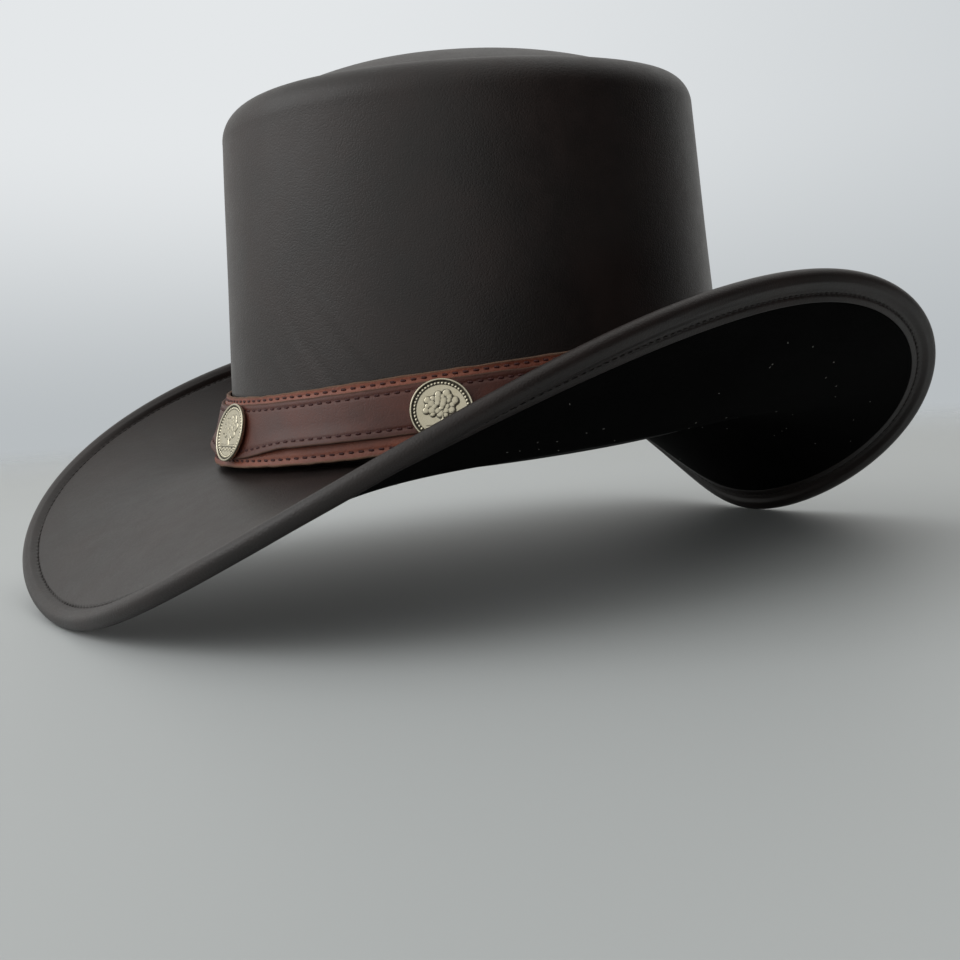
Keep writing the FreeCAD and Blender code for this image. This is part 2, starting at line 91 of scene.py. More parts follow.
def crown_point(angle, inset, height):
    """Points at a height of the crown, inset from its outer wall along the normal."""
    angle, inset, height = np.broadcast_arrays(angle, inset, height)
    share = np.clip(height, 0.0, wall_height) / wall_height
    long_half = foot_long + (top_long - foot_long) * share
    wide_half = foot_wide + (top_wide - foot_wide) * share
    lift = (wall_pitch * np.cos(angle) + wall_sway * np.cos(2 * angle)) * share
    point = oval(long_half, wide_half, angle) - outward(angle) * inset[..., None]
    point[..., 1] += top_shift * share
    point[..., 2] += height + lift
    return point


def unit(vectors):
    return vectors / np.linalg.norm(vectors, axis=-1, keepdims=True)


def shape(name, points, faces, finish, marks=None):
    """Mesh object through points of the crown's frame; marks are named values at the points."""
    mesh = bpy.data.meshes.new(name)
    mesh.from_pydata(stand(points.reshape(-1, 3)).tolist(), [], faces)
    for mark, values in (marks or {}).items():
        values = np.broadcast_to(values, points.shape[:-1]).astype(np.float32)
        mesh.attributes.new(mark, "FLOAT", "POINT").data.foreach_set("value", values.ravel())
    work = bmesh.new()
    work.from_mesh(mesh)
    bmesh.ops.recalc_face_normals(work, faces=work.faces)
    work.to_mesh(mesh)
    work.free()
    mesh.polygons.foreach_set("use_smooth", [True] * len(mesh.polygons))
    mesh.materials.append(finish.material)
    thing = bpy.data.objects.new(name, mesh)
    bpy.context.collection.objects.link(thing)
    return thing


def skin(name, rows, finish, marks=None, round_hat=True):
    """Closed skin through rows of points: each row runs round the hat, and the rows run
    round the section. An open strip gets a face at each end."""
    count, across = rows.shape[:2]
    row = np.arange(count)[:, None]
    place = np.arange(across if round_hat else across - 1)[None, :]
    corners = [row * across + place, row * across + (place + 1) % across,
               (row + 1) % count * across + (place + 1) % across, (row + 1) % count * across + place]
    faces = np.stack(corners, -1).reshape(-1, 4).tolist()
    if not round_hat:
        ends = np.arange(count) * across
        faces += [ends.tolist(), (ends + across - 1).tolist()]
    return shape(name, rows, faces, finish, marks)


class Signal:
    """Socket of a finish, for use in sums and products with other sockets and numbers."""

    def __init__(self, finish, socket):
        self.finish = finish
        self.socket = socket

    def math(self, operation, first, second):
        return self.finish.node("Math", {"operation": operation}, {0: first, 1: second})

    def __add__(self, other):
        return self.math("ADD", self, other)

    def __sub__(self, other):
        return self.math("SUBTRACT", self, other)

    def __mul__(self, other):
        return self.math("MULTIPLY", self, other)

    def __rsub__(self, other):
        return self.math("SUBTRACT", other, self)

    __radd__ = __add__
    __rmul__ = __mul__

    def between(self, low, high):
        """Smooth step from 0 at low to 1 at high."""
        return self.finish.node("MapRange", {"interpolation_type": "SMOOTHSTEP"},
                                {"Value": self, "From Min": low, "From Max": high})


class Finish:
    """Nodes of a material or of the world. node() takes a type, settings and sockets."""

    def __init__(self, name, holder=None):
        self.material = holder or bpy.data.materials.new(name)
        self.material.use_nodes = True
        self.tree = self.material.node_tree
        self.where = self.node("TexCoord", output="Generated" if holder else "Object")

    def node(self, kind, settings=None, sockets=None, output=0):
        made = self.tree.nodes.new("ShaderNode" + kind)
        for name, value in (settings or {}).items():
            setattr(made, name, value)
        self.feed(made, sockets or {})
        return Signal(self, made.outputs[output])

    def feed(self, made, sockets):
        for name, value in sockets.items():
            if isinstance(value, Signal):
                self.tree.links.new(value.socket, made.inputs[name])
            else:
                made.inputs[name].default_value = value

    def noise(self, scale, detail=2.0, roughness=0.5, where=None):
        return self.node("TexNoise", {}, {"Vector": where or self.where, "Scale": scale,
                                          "Detail": detail, "Roughness": roughness})

    def mix(self, share, low, high):
        return self.node("Mix", {"data_type": "RGBA"}, {0: share, 6: low, 7: high}, output=2)

    def mark(self, name):
        return self.node("Attribute", {"attribute_name": name}, output="Fac")

    def bump(self, height, depth):
        """Normal of a relief whose height 0 to 1 stands for the given depth."""
        return self.node("Bump", {}, {"Height": height, "Distance": depth, "Strength": 1.0})

    def surface(self, **sockets):
        names = {name.replace("_", " ").title().replace("Ior", "IOR"): value
                 for name, value in sockets.items()}
        self.feed(self.tree.nodes["Principled BSDF"], names)
        return self


def tint(red, green, blue):
    """Colour from its everyday 0 to 255 values."""
    parts = [value / 255 for value in (red, green, blue)]
    return [part / 12.92 if part < 0.04045 else ((part + 0.055) / 1.055) ** 2.4
            for part in parts] + [1.0]


def leather_finish(name, dark, light, pore_depth, gloss=0.42, pore=1500.0, cut_fibre=None):
    """Drum-dyed cowhide: cloudy colour, fine closed grain, soft handling creases. With a
    colour for cut fibre, that shows, paler and matt, where the mark called edge is 1."""
    finish = Finish(name)
    clouds = finish.noise(26.0, 4.0, 0.55)
    haze = finish.noise(110.0, 3.0, 0.6)
    grain = finish.node("TexVoronoi", {"feature": "SMOOTH_F1"},
                        {"Vector": finish.where, "Scale": pore, "Smoothness": 0.6})
    fine = finish.noise(3.1 * pore, 2.0, 0.6)
    tone = (clouds * 0.7 + haze * 0.3).between(0.3, 0.72)
    colour = finish.mix(tone, dark, light)
    pores = grain.between(0.15, 0.6)
    colour = finish.mix((1 - pores) * 0.25, colour, dark)
    creases = finish.noise(260.0, 3.0, 0.55)
    relief = pores * 0.45 + fine * 0.25 + creases * 0.6
    rough = gloss + (haze - 0.5) * 0.12 + pores * 0.05
    if cut_fibre:
        cut = finish.mark("edge")
        fibre = finish.noise(900.0, 3.0, 0.7)
        colour = finish.mix(cut * (0.45 + fibre * 0.5), colour, cut_fibre)
        rough = rough + cut * 0.35
        relief = relief + cut * fibre * 1.5
    finish.surface(base_color=colour, roughness=rough, specular_ior_level=0.5,
                   normal=finish.bump(relief, pore_depth))
    return finish


def soft_dents(angle, height, seed, size):
    """Shallow unevenness that hand work leaves in the leather."""
    draw = np.random.default_rng(seed)
    total = 0.0
    for _ in range(16):
        turns, rise, phase = draw.integers(2, 13), draw.uniform(-100, 100), draw.uniform(0, 2 * math.pi)
        total = total + np.cos(turns * angle + rise * height + phase) / turns
    return size * total


def pulls(angle, height):
    """Slanting draw marks low on the wearer's left of the front."""
    middle_angle, middle_height = math.radians(42), 0.036
    spread_angle, spread_height = 0.42, 0.020
    fade = np.exp(-((angle - middle_angle) / spread_angle) ** 2
                  - ((height - middle_height) / spread_height) ** 2)
    run = 0.08 * angle + 0.75 * height
    pull_depth = 0.00016
    return pull_depth * fade * (np.cos(run * 520.0) + 0.6 * np.cos(run * 890.0 + 1.3))


def fit(piece, body, node):
    """Fix a piece to its body, in place of its CAD part, which is hidden."""
    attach(piece, body)
    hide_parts(node)


crown_leather = leather_finish("crown_leather_satin", tint(18, 12, 10), tint(34, 23, 20), 0.00008)

rear_radius = foot_wide ** 2 / foot_long
near_seam = np.array((0.0001, 0.0003, 0.0006, 0.001, 0.0016)) / rear_radius
around = np.radians(np.linspace(-180, 180, stations + 1))[1:-1]
around = np.concatenate([near_seam - math.pi, around, math.pi - near_seam[::-1]])
from_butt = (math.pi - np.abs(around)) * rear_radius
butt_sunk, butt_reach = 0.0005, 0.0004   # the cut edges round over into the seam
butt_round = butt_sunk * np.exp(-from_butt / butt_reach)
wall_seed, wall_dent = 7, 0.00012

heights = np.linspace(wall_foot, wall_height, 48)[:, None]
outside = [crown_point(around, butt_round - soft_dents(around, heights, wall_seed, wall_dent)
                       - pulls(around, heights), heights)]
bends = np.radians(np.linspace(5, 90, 18))[:, None]
bend_dents = soft_dents(around, wall_height + 0 * bends, wall_seed, wall_dent) * np.cos(bends)
outside += [crown_point(around, butt_round + shoulder_in * (1 - np.cos(bends)) - bend_dents,
                        wall_height + shoulder_up * np.sin(bends))]
turn_in = np.radians(np.linspace(0, 90, 7))[1:, None]
turn_radius = 0.0013
turn_start = seam_inset - turn_radius
outside += [crown_point(around, turn_start + turn_radius * np.sin(turn_in),
                        seam_height - turn_radius * (1 - np.cos(turn_in)))]
inside_profile = np.array([(seam_inset, seam_height - seam_flange),
                           (shoulder_in, seam_height - seam_flange),
                           (shoulder_in, seam_height - leather - 0.0006),
                           (0.0095, seam_height - leather - 0.0012),
                           (0.0052, wall_height + 0.0070), (leather, wall_height),
                           (leather, 0.090), (leather, 0.045), (leather, wall_foot)])
inside = crown_point(around, inside_profile[:, :1], inside_profile[:, 1:])
wall_rows = np.concatenate(outside + [inside])
crown_wall = skin("crown_wall_leather", wall_rows, crown_leather, round_hat=False)
fit(crown_wall, "hat", "crown_wall")

# --- Crown top ----------------------------------------------------------------------
# Oval panel of the same hide, blocked into a low dome. Its edge is turned down inside the
# wall's turned-in edge and the two are sewn together below, which leaves a crisp crease.
dome_height, dome_power = 0.016, 2.2
joint_gap = 0.0001
full_turn = np.radians(np.arange(stations) * 360 / stations)
panel_edge = seam_inset + joint_gap
edge_profile = np.array([(panel_edge, seam_height - seam_flange), (panel_edge, seam_height - 0.003),
                         (panel_edge, seam_height - 0.0012), (panel_edge + 0.0002, seam_height - 0.0005),
                         (panel_edge + 0.0006, seam_height), (panel_edge + 0.0011, seam_height + 0.0004)])
shares = np.linspace(0.975, 0.0, 45)[:, None]
middle = np.array((0.0, top_shift, seam_height))


def close_middle(thing):
    """Weld the points that meet at the middle of a round panel, on each of its faces."""
    work = bmesh.new()
    work.from_mesh(thing.data)
    bmesh.ops.remove_doubles(work, verts=work.verts, dist=0.000001)
    bmesh.ops.delete(work, geom=[edge for edge in work.edges if edge.is_wire], context="EDGES")
    work.to_mesh(thing.data)
    work.free()


def dome(share, depth):
    """Rows of the dome, at a share of the way from its middle to its rim."""
    rim = crown_point(full_turn, panel_edge + 0.001, seam_height)
    rise = dome_height * (1 - share ** dome_power) - depth
    dents = soft_dents(full_turn, 0.05 * share, 3, 0.0001) * share * (1 - share) * 3
    return middle + (rim - middle) * share[..., None] + raised(rise + dents)


under_shares = np.linspace(0.0, 0.94, 13)[:, None]
under_profile = np.array([(panel_edge + leather, seam_height - 0.003),
                          (panel_edge + leather, seam_height - seam_flange)])
dome_rows = np.concatenate([
    crown_point(full_turn, edge_profile[:, :1], edge_profile[:, 1:]), dome(shares, 0.0),
    dome(under_shares, leather), crown_point(full_turn, under_profile[:, :1], under_profile[:, 1:])])
crown_top = skin("crown_top_panel", dome_rows, crown_leather)
close_middle(crown_top)
fit(crown_top, "hat", "crown_top")

# --- Crown seams ----------------------------------------------------------------------
# Waxed dark polyester thread. Two rows run up beside the rear butt seam, through the tape
# glued behind it, and one ring inside joins the top panel's flange to the wall's.
thread_thick = 0.0007
stitch_pitch = 0.0030
stitch_length = 0.0023


def thread_finish(name, dark, light):
    """Twisted waxed thread: plies show as slanting bands, with a soft shine."""
    finish = Finish(name)
    plies = finish.node("TexWave", {"wave_type": "BANDS", "bands_direction": "DIAGONAL"},
                        {"Vector": finish.where, "Scale": 900.0, "Distortion": 1.5, "Detail": 1.0})
    fuzz = finish.noise(5000.0, 2.0)
    colour = finish.mix(plies * 0.6 + fuzz * 0.4, dark, light)
    return finish.surface(base_color=colour, roughness=0.45 + fuzz * 0.25,
                          normal=finish.bump(plies * 0.7 + fuzz * 0.3, 0.00012))


def evenly(line, start, end, pitch):
    """Angles that space stitches evenly along a line given as points of an angle."""
    marks = np.linspace(start, end, 4001)
    steps = np.linalg.norm(np.diff(line(marks), axis=0), axis=-1)
    run = np.concatenate([[0.0], np.cumsum(steps)])
    count = int(round(run[-1] / pitch))
    return np.interp((np.arange(count) + 0.5) * run[-1] / count, run, marks)


def stitches(name, centres, along, off, finish, length=stitch_length, thick=thread_thick,
             slant=0.10, sink=0.0007):
    """Single stitches: each comes out of one hole, lies on the leather and dives into the next."""
    rings, sides = 9, 8
    bowed, flattened, pinched = 0.12, 0.75, 0.35
    across = np.cross(along, off)
    along = unit(along + across * slant)
    across = np.cross(along, off)
    run = np.linspace(-1, 1, rings)[None, :, None]
    turn = (np.arange(sides) * 2 * math.pi / sides)[None, None, :]
    path = centres[:, None] + along[:, None] * run * length / 2
    path = path + off[:, None] * (bowed * thick * (1 - run ** 2) - sink * run ** 6)
    radius = thick / 2 * (1 - pinched * run ** 4)
    ring = (across[:, None, None] * np.cos(turn)[..., None]
            + off[:, None, None] * flattened * np.sin(turn)[..., None])
    points = path[:, :, None] + ring * radius[..., None]
    each = np.arange(len(centres))[:, None, None] * rings * sides
    step = np.arange(rings - 1)[None, :, None] * sides
    side = np.arange(sides)[None, None, :]
    following = (side + 1) % sides
    corners = np.stack([each + step + side, each + step + following,
                        each + step + sides + following, each + step + sides + side], -1)
    faces = corners.reshape(-1, 4).tolist()
    for end in (0, (rings - 1) * sides):
        faces += (np.arange(len(centres))[:, None] * rings * sides + end + np.arange(sides)).tolist()
    return shape(name, points, faces, finish)


hat_thread = thread_finish("hat_thread_dark_wax", tint(14, 11, 10), tint(38, 31, 28))
row_offset = 0.004
row_foot, row_head = 0.014, 0.114
row_heights = np.arange(row_foot, row_head, stitch_pitch)
row_places, row_off = [], []
under_band, pressed_in = 0.032, 0.00025  # below this height the band presses the outer stitches in
pressed = np.where(row_heights < under_band, pressed_in, 0.0)
for side in (-1, 1):
    for inset, face in ((pressed, 1.0), (leather + joint_gap + 0.0005, -1.0)):
        angles = np.full(len(row_heights), math.pi - side * row_offset / rear_radius)
        row_places.append(crown_point(angles, inset - face * 0.0001, row_heights))
        row_off.append(outward(angles) * face)
row_places, row_off = np.concatenate(row_places), np.concatenate(row_off)
row_along = np.broadcast_to((0.0, 0.0, 1.0), row_places.shape)
back_stitches = stitches("crown_back_stitches", row_places, row_along, row_off, hat_thread)
fit(back_stitches, "hat", "crown_back_thread")


def ring_stitches(name, inset, height, node):
    """Stitches round the inside of the hat, in place of one of its threads."""
    def line(angle):
        return crown_point(angle, inset, height)
    angles = evenly(line, 0.0, 2 * math.pi, stitch_pitch)
    along = unit(line(angles + 0.01) - line(angles - 0.01))
    made = stitches(name, line(angles), along, -outward(angles), hat_thread)
    fit(made, "hat", node)


flange_face = seam_inset + joint_gap + leather + 0.0002
ring_stitches("crown_top_stitches", flange_face, seam_height - 0.004, "crown_top_thread")


def dress(node_name, finish):
    """Give a CAD part whose shape stays its finish."""
    node = frame["nodes"][node_name]
    node.data.materials.clear()
    node.data.materials.append(finish.material)


# Woven cotton tape glued over the butt seam inside the crown, before the two rows are sewn.
tape_finish = Finish("seam_tape_cotton")
tape_weave = tape_finish.node("TexChecker", {}, {"Vector": tape_finish.where, "Scale": 1400.0},
                              output="Fac")
tape_slub = tape_finish.noise(500.0, 3.0)
tape_finish.surface(base_color=tape_finish.mix(tape_slub, tint(24, 23, 23), tint(52, 50, 49)),
                    roughness=0.75 + tape_slub * 0.2,
                    normal=tape_finish.bump(tape_weave * 0.5 + tape_slub * 0.5, 0.0002))
dress("crown_back_tape", tape_finish)

# --- Brim leather ----------------------------------------------------------------------
# One oval ring of the same hide, turned up inside the crown as a collar and curled up at
# the sides. Its rim is wrapped over a spring wire into a round bead and turned under as a
# hem, sewn once just inside the bead and seen as a stitched crease on both faces.
brim_reach = (0.078, -0.001, 0.009, 0.001, -0.0037)       # crown to wire, sums of cosines
brim_slope = (2.5, 3.1, -39.2, 8.0, -0.9, -0.1, -0.5)     # slope of that line, degrees
break_slope = (-12.0, 10.0, -10.0)                        # slope where it leaves the crown
bead = 0.003                                              # radius of the rim's bead
hem, hem_width = 0.0016, 0.0085
edge_stitch_in = 0.004                                    # seam inward from the wire
crease_puckers = 330
collar_height = 0.010
brim_stations = 1440


def cosines(terms, angle):
    return sum(term * np.cos(k * angle) for k, term in enumerate(terms))


def brim_under(angle, share):
    """Underside of the brim's leather: share 0 at the crown, 1 at the wire."""
    angle, share = np.broadcast_arrays(angle, share)
    reach = cosines(brim_reach, angle)
    slope = np.radians(cosines(brim_slope, angle))
    start = np.radians(cosines(break_slope, angle))
    end = 2 * slope - start
    handle = 0.36 * reach
    rest = 1 - share
    first, second, last = 3 * share * rest ** 2, 3 * share ** 2 * rest, share ** 3
    wire_out, wire_up = reach * np.cos(slope), reach * np.sin(slope)
    out = (first * handle * np.cos(start) + second * (wire_out - handle * np.cos(end))
           + last * wire_out)
    rise = (-leather * (rest ** 3 + first) + first * handle * np.sin(start)
            + second * (wire_up - handle * np.sin(end)) + last * wire_up)
    return oval(foot_long, foot_wide, angle) + outward(angle) * out[..., None] + raised(rise)


def brim_axes(angle, share):
    """Unit upward normal of the brim and unit direction across it, away from the crown."""
    across = (brim_under(angle, np.minimum(share + 0.004, 1.0))
              - brim_under(angle, np.maximum(share - 0.004, 0.0)))
    along = brim_under(angle + 0.009, share) - brim_under(angle - 0.009, share)
    normal = unit(np.cross(across, along))
    return normal, unit(np.cross(along, normal))


def brim_length(angle):
    marks = brim_under(angle, np.linspace(0, 1, 25)[:, None])
    return np.linalg.norm(np.diff(marks, axis=0), axis=-1).sum(0)


def brim_at(angle, inward, height):
    """Points above the leather's underside, at a distance inward from the wire."""
    angle, inward, height = np.broadcast_arrays(angle, inward, height)
    share = 1 - inward / brim_length(angle[0] if angle.ndim > 1 else angle)
    normal, _ = brim_axes(angle, share)
    return brim_under(angle, share) + normal * height[..., None]


def step(low, high, value):
    share = np.clip((value - low) / (high - low), 0.0, 1.0)
    return share * share * (3 - 2 * share)


def puckered(angle, depth):
    """Depth of a sewn crease, which draws in along its length."""
    return depth * (0.72 + 0.28 * np.cos(crease_puckers * angle))


def brim_top(angle, inward):
    """Height of the upper face: flat, then a stitched crease, then the bead."""
    swell = (bead - leather) * (1 - step(0.0014, 0.0038, inward))
    crease_depth = crease_half = 0.00055
    crease = puckered(angle, crease_depth) * np.exp(-((inward - edge_stitch_in) / crease_half) ** 2)
    return leather + swell - crease


def hem_face(angle, inward):
    """Depth of the lower face: the bead, a stitched crease and the flat hem."""
    swell = (bead - hem) * (1 - step(0.0016, 0.0044, inward))
    crease_depth, crease_half = 0.0005, 0.0006
    crease = puckered(angle, crease_depth) * np.exp(-((inward - hem_stitch_in) / crease_half) ** 2)
    return -hem - swell + crease


hem_stitch_in = edge_stitch_in + 0.0016
brim_turn = np.radians(np.arange(brim_stations) * 360 / brim_stations)
brim_reach_now = brim_length(brim_turn)
collar_out, collar_in = leather + joint_gap, 2 * leather + joint_gap
collar_heights = np.array((collar_height, 0.006, 0.0018))[:, None]
brim_rows = [crown_point(brim_turn, collar_out, collar_heights)]
brim_rows += [(oval(foot_long, foot_wide, brim_turn) - outward(brim_turn) * (collar_out - 0.0003)
               + (0.0, 0.0, 0.0001))[None]]
flat_inward = np.linspace(0.98, 0.0, 46)[:-1, None] * (brim_reach_now - 0.007) + 0.007
flat_dents = soft_dents(brim_turn, flat_inward, 11, 0.00016) * step(0.0, 0.02, brim_reach_now - flat_inward)
brim_rows += [brim_at(brim_turn, flat_inward, leather + flat_dents * step(0.007, 0.02, flat_inward))]
rim_inward = np.linspace(0.007, 0.0, 27)[:, None]
brim_rows += [brim_at(brim_turn, rim_inward, brim_top(brim_turn, rim_inward))]
rim_normal, rim_outer = brim_axes(brim_turn, np.ones(brim_stations))
roll = np.radians(np.arange(12, 180, 12))[:, None, None]
brim_rows += [brim_under(brim_turn, 1.0) + bead * (rim_normal * np.cos(roll) + rim_outer * np.sin(roll))]
hem_inward = np.linspace(0.0, hem_width, 27)[:, None]
brim_rows += [brim_at(brim_turn, hem_inward, hem_face(brim_turn, hem_inward))]
under_shares = np.linspace(0.86, 0.04, 12)[:, None]
brim_rows += [brim_at(brim_turn, hem_width + 0.0002, -0.0008)[None]]
brim_rows += [brim_at(brim_turn, hem_width + 0.0006, 0.0)[None]]
brim_rows += [brim_under(brim_turn, under_shares)]
brim_rows += [crown_point(brim_turn, collar_in, np.array((0.0008, 0.006, collar_height))[:, None])]
brim_leather = skin("brim_leather_ring", np.concatenate(brim_rows), crown_leather)
fit(brim_leather, "hat", "brim_leather")

# Spring-steel wire inside the bead, which holds the brim's curl.
wire_finish = Finish("spring_wire_steel")
wire_draw = wire_finish.noise(2500.0, 3.0)
wire_finish.surface(base_color=wire_finish.mix(wire_draw, tint(120, 122, 125), tint(160, 161, 163)),
                    metallic=1.0, roughness=0.3 + wire_draw * 0.2,
                    normal=wire_finish.bump(wire_draw, 0.00003))
dress("brim_wire", wire_finish)

# --- Brim stitching --------------------------------------------------------------------
# The hem's seam shows as a row of dark stitches in the crease on the top face and another
# underneath. A third row, hidden inside the hat, sews the brim's collar to the crown.


def brim_stitches(name, inward, height, away, node):
    """Stitches round the brim; away is 1 on its upper face and -1 underneath."""
    def line(angle):
        return brim_at(angle, inward, height)
    angles = evenly(line, 0.0, 2 * math.pi, stitch_pitch)
    normal, _ = brim_axes(angles, 1 - inward / brim_length(angles))
    along = unit(line(angles + 0.005) - line(angles - 0.005))
    made = stitches(name, line(angles), along, normal * away, hat_thread, thick=0.0006, sink=0.0005)
    fit(made, "hat", node)


brim_stitches("brim_edge_stitches_top", edge_stitch_in, leather - 0.0003, 1, "brim_edge_thread_top")
brim_stitches("brim_edge_stitches_under", hem_stitch_in, -hem + 0.0002, -1, "brim_edge_thread_under")
join_height = 0.0086
ring_stitches("brim_join_stitches", collar_in + 0.0001, join_height, "brim_join_thread")

# --- Brim felt -------------------------------------------------------------------------
# Ring of 1.4 mm black wool felt glued under the brim, butted against the hem. Its nap is
# matt and slightly streaky, and it has picked up a few pale fibres and specks of lint.
felt = 0.0014
felt_reach = brim_length(full_turn)
black_felt = Finish("black_felt_nap")
brushed = black_felt.node("Mapping", {}, {"Vector": black_felt.where, "Scale": (1.0, 0.45, 1.0)})
nap = black_felt.noise(1800.0, 4.0, 0.65, brushed)
strokes = black_felt.noise(60.0, 3.0, 0.6, brushed)
fuzz = black_felt.noise(6000.0, 2.0, 0.7)
black_felt.surface(base_color=black_felt.mix((strokes * 0.5 + nap * 0.5).between(0.35, 0.75),
                                             tint(4, 4, 4), tint(12, 12, 12)),
                   roughness=0.95, specular_ior_level=0.05,
                   normal=black_felt.bump(nap * 0.6 + fuzz * 0.4, 0.0004))
felt_inward = np.linspace(0.985, 0.0, 40)[:, None] * (felt_reach - hem_width) + hem_width + 0.0001
felt_wave = soft_dents(full_turn, felt_inward, 5, 0.00008)
glue = 0.00015
felt_low = -glue - felt
felt_rows = np.concatenate([
    brim_at(full_turn, felt_inward, felt_low + felt_wave * step(0.009, 0.02, felt_inward)),
    brim_at(full_turn, hem_width + 0.0001, np.array((-0.0011, -0.0004))[:, None]),
    brim_at(full_turn, felt_inward[::-4], -0.0001)])
brim_felt = skin("brim_felt_ring", felt_rows, black_felt)
fit(brim_felt, "hat", "brim_felt")

lint_finish = Finish("lint_fibre")
lint_tone = lint_finish.noise(3000.0)
lint_finish.surface(base_color=lint_finish.mix(lint_tone, tint(150, 148, 142), tint(214, 212, 206)),
                    roughness=0.9)
lint_draw = np.random.default_rng(21)
lint_count = 110
lint_angle = lint_draw.uniform(0, 2 * math.pi, lint_count)
lint_inward = lint_draw.uniform(0.014, 0.07, lint_count)
lint_spin = lint_draw.uniform(0, 2 * math.pi, lint_count)
lint_share = 1 - lint_inward / brim_length(lint_angle)
lint_normal, lint_outer = brim_axes(lint_angle, lint_share)
lint_side = np.cross(lint_normal, lint_outer)
lint_along = lint_outer * np.cos(lint_spin)[:, None] + lint_side * np.sin(lint_spin)[:, None]
lint_clear = 0.0004
lint_place = brim_under(lint_angle, lint_share) + lint_normal * (felt_low - lint_clear)
felt_lint = stitches("brim_felt_lint", lint_place, lint_along, -lint_normal, lint_finish,
                     length=0.0007, thick=0.00016, slant=0.0, sink=0.0)
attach(felt_lint, "hat")

# --- Sweatband -------------------------------------------------------------------------
# Band of thin brown sheepskin inside the mouth, 38 mm tall. It stands on a plastic reed and
# is sewn near its foot to the brim's collar. Its free upper edge waves a little.
sweat_height, sweat = 0.038, 0.001
sweat_bottom = -0.0035
reed_radius = 0.001
sweat_inset = 2 * leather + joint_gap + 0.00015
sweat_leather = leather_finish("sweat_leather_soft", tint(46, 32, 25), tint(78, 56, 43), 0.00009,
                               gloss=0.5, pore=1100.0, cut_fibre=tint(120, 94, 74))
rise = np.linspace(0, 1, 22)[:, None]
stand_off = 0.0006 * step(0.0, 0.2, rise)
wave = 0.00045 * step(0.35, 1.0, rise) * np.cos(9 * full_turn + 1.1 * np.cos(2 * full_turn))
sweat_rows = np.concatenate([
    crown_point(full_turn, sweat_inset + stand_off + wave + 0.0002, sweat_bottom + sweat_height * rise),
    crown_point(full_turn, sweat_inset + stand_off[-1] + sweat / 2 + wave[-1:] + 0.0002,
                sweat_bottom + sweat_height + 0.0003),
    crown_point(full_turn, sweat_inset + stand_off[::-1] + sweat + wave[::-1] + 0.0002,
                sweat_bottom + sweat_height * rise[::-1])])
sweat_edge = np.concatenate([step(0.97, 1.0, rise), [[1.0]], step(0.97, 1.0, rise[::-1])])
sweatband = skin("sweatband_leather", sweat_rows, sweat_leather, {"edge": sweat_edge})
fit(sweatband, "hat", "sweatband")

reed_finish = Finish("reed_plastic_black")
reed_flow = reed_finish.noise(700.0, 2.0)
reed_finish.surface(base_color=reed_finish.mix(reed_flow, tint(18, 17, 17), tint(34, 33, 32)),
                    roughness=0.35 + reed_flow * 0.15, normal=reed_finish.bump(reed_flow, 0.00005))
reed_ring = np.radians(np.arange(16) * 360 / 16)[:, None]
reed_rows = crown_point(full_turn, sweat_inset + sweat / 2 + reed_radius * np.cos(reed_ring),
                        sweat_bottom - reed_radius - 0.0001 + reed_radius * np.sin(reed_ring))
sweat_reed = skin("sweatband_reed_cord", reed_rows, reed_finish)
fit(sweat_reed, "hat", "sweatband_reed")

ring_stitches("sweatband_stitches", sweat_inset + sweat + 0.0003, sweat_bottom + 0.0022,
              "sweatband_thread")

# --- Lining ----------------------------------------------------------------------------
# Black satin: a side piece gathered in soft upright ripples inside the wall, and an oval
# tip under the dome. Its foot is tucked behind the sweatband.
lining_inset, lining = 0.0033, 0.0004
lining_bottom, lining_top = 0.012, 0.118
satin_finish = Finish("lining_satin_black")
satin_stretch = satin_finish.node("Mapping", {}, {"Vector": satin_finish.where, "Scale": (1.0, 1.0, 0.06)})
satin_threads = satin_finish.noise(4000.0, 2.0, 0.5, satin_stretch)
satin_clouds = satin_finish.noise(40.0, 3.0)
satin_finish.surface(base_color=satin_finish.mix(satin_clouds * 0.5 + satin_threads * 0.5, tint(12, 12, 14),
                                                 tint(30, 30, 34)),
                     roughness=0.32 + satin_threads * 0.12, sheen_weight=0.2,
                     normal=satin_finish.bump(satin_threads, 0.00006))
drop = np.linspace(lining_bottom, lining_top, 30)[:, None]
gather = np.cos(46 * full_turn + 2.0 * np.cos(3 * full_turn)) + 0.5 * np.cos(71 * full_turn)
ripple = 0.00035 * (gather + 1.5) * (0.25 + step(lining_bottom, lining_bottom + 0.02, drop)
                                     * (1 - 0.6 * step(0.05, lining_top, drop)))
side_rows = np.concatenate([crown_point(full_turn, lining_inset + ripple, drop),
                            crown_point(full_turn, lining_inset + lining + ripple[::-1], drop[::-1])])
lining_side = skin("lining_side_satin", side_rows, satin_finish)
fit(lining_side, "hat", "lining_side")

tip_middle = np.array((0.0, top_shift, lining_top))
tip_rim = crown_point(full_turn, lining_inset + lining + 0.0003, lining_top)


def tip_rows(share, depth):
    pucker = 0.0003 * step(0.8, 1.0, share) * np.cos(60 * full_turn)
    return (tip_middle + (tip_rim - tip_middle) * share[..., None]
            + raised(0.004 * (1 - share ** 2) - depth + pucker))


tip_out = np.linspace(1.0, 0.0, 25)[:, None]
tip_section = np.concatenate([tip_rows(tip_out, 0.0), tip_rows(tip_out[::-1], lining)])
lining_tip = skin("lining_tip_satin", tip_section, satin_finish)
close_middle(lining_tip)
fit(lining_tip, "hat", "lining_tip")

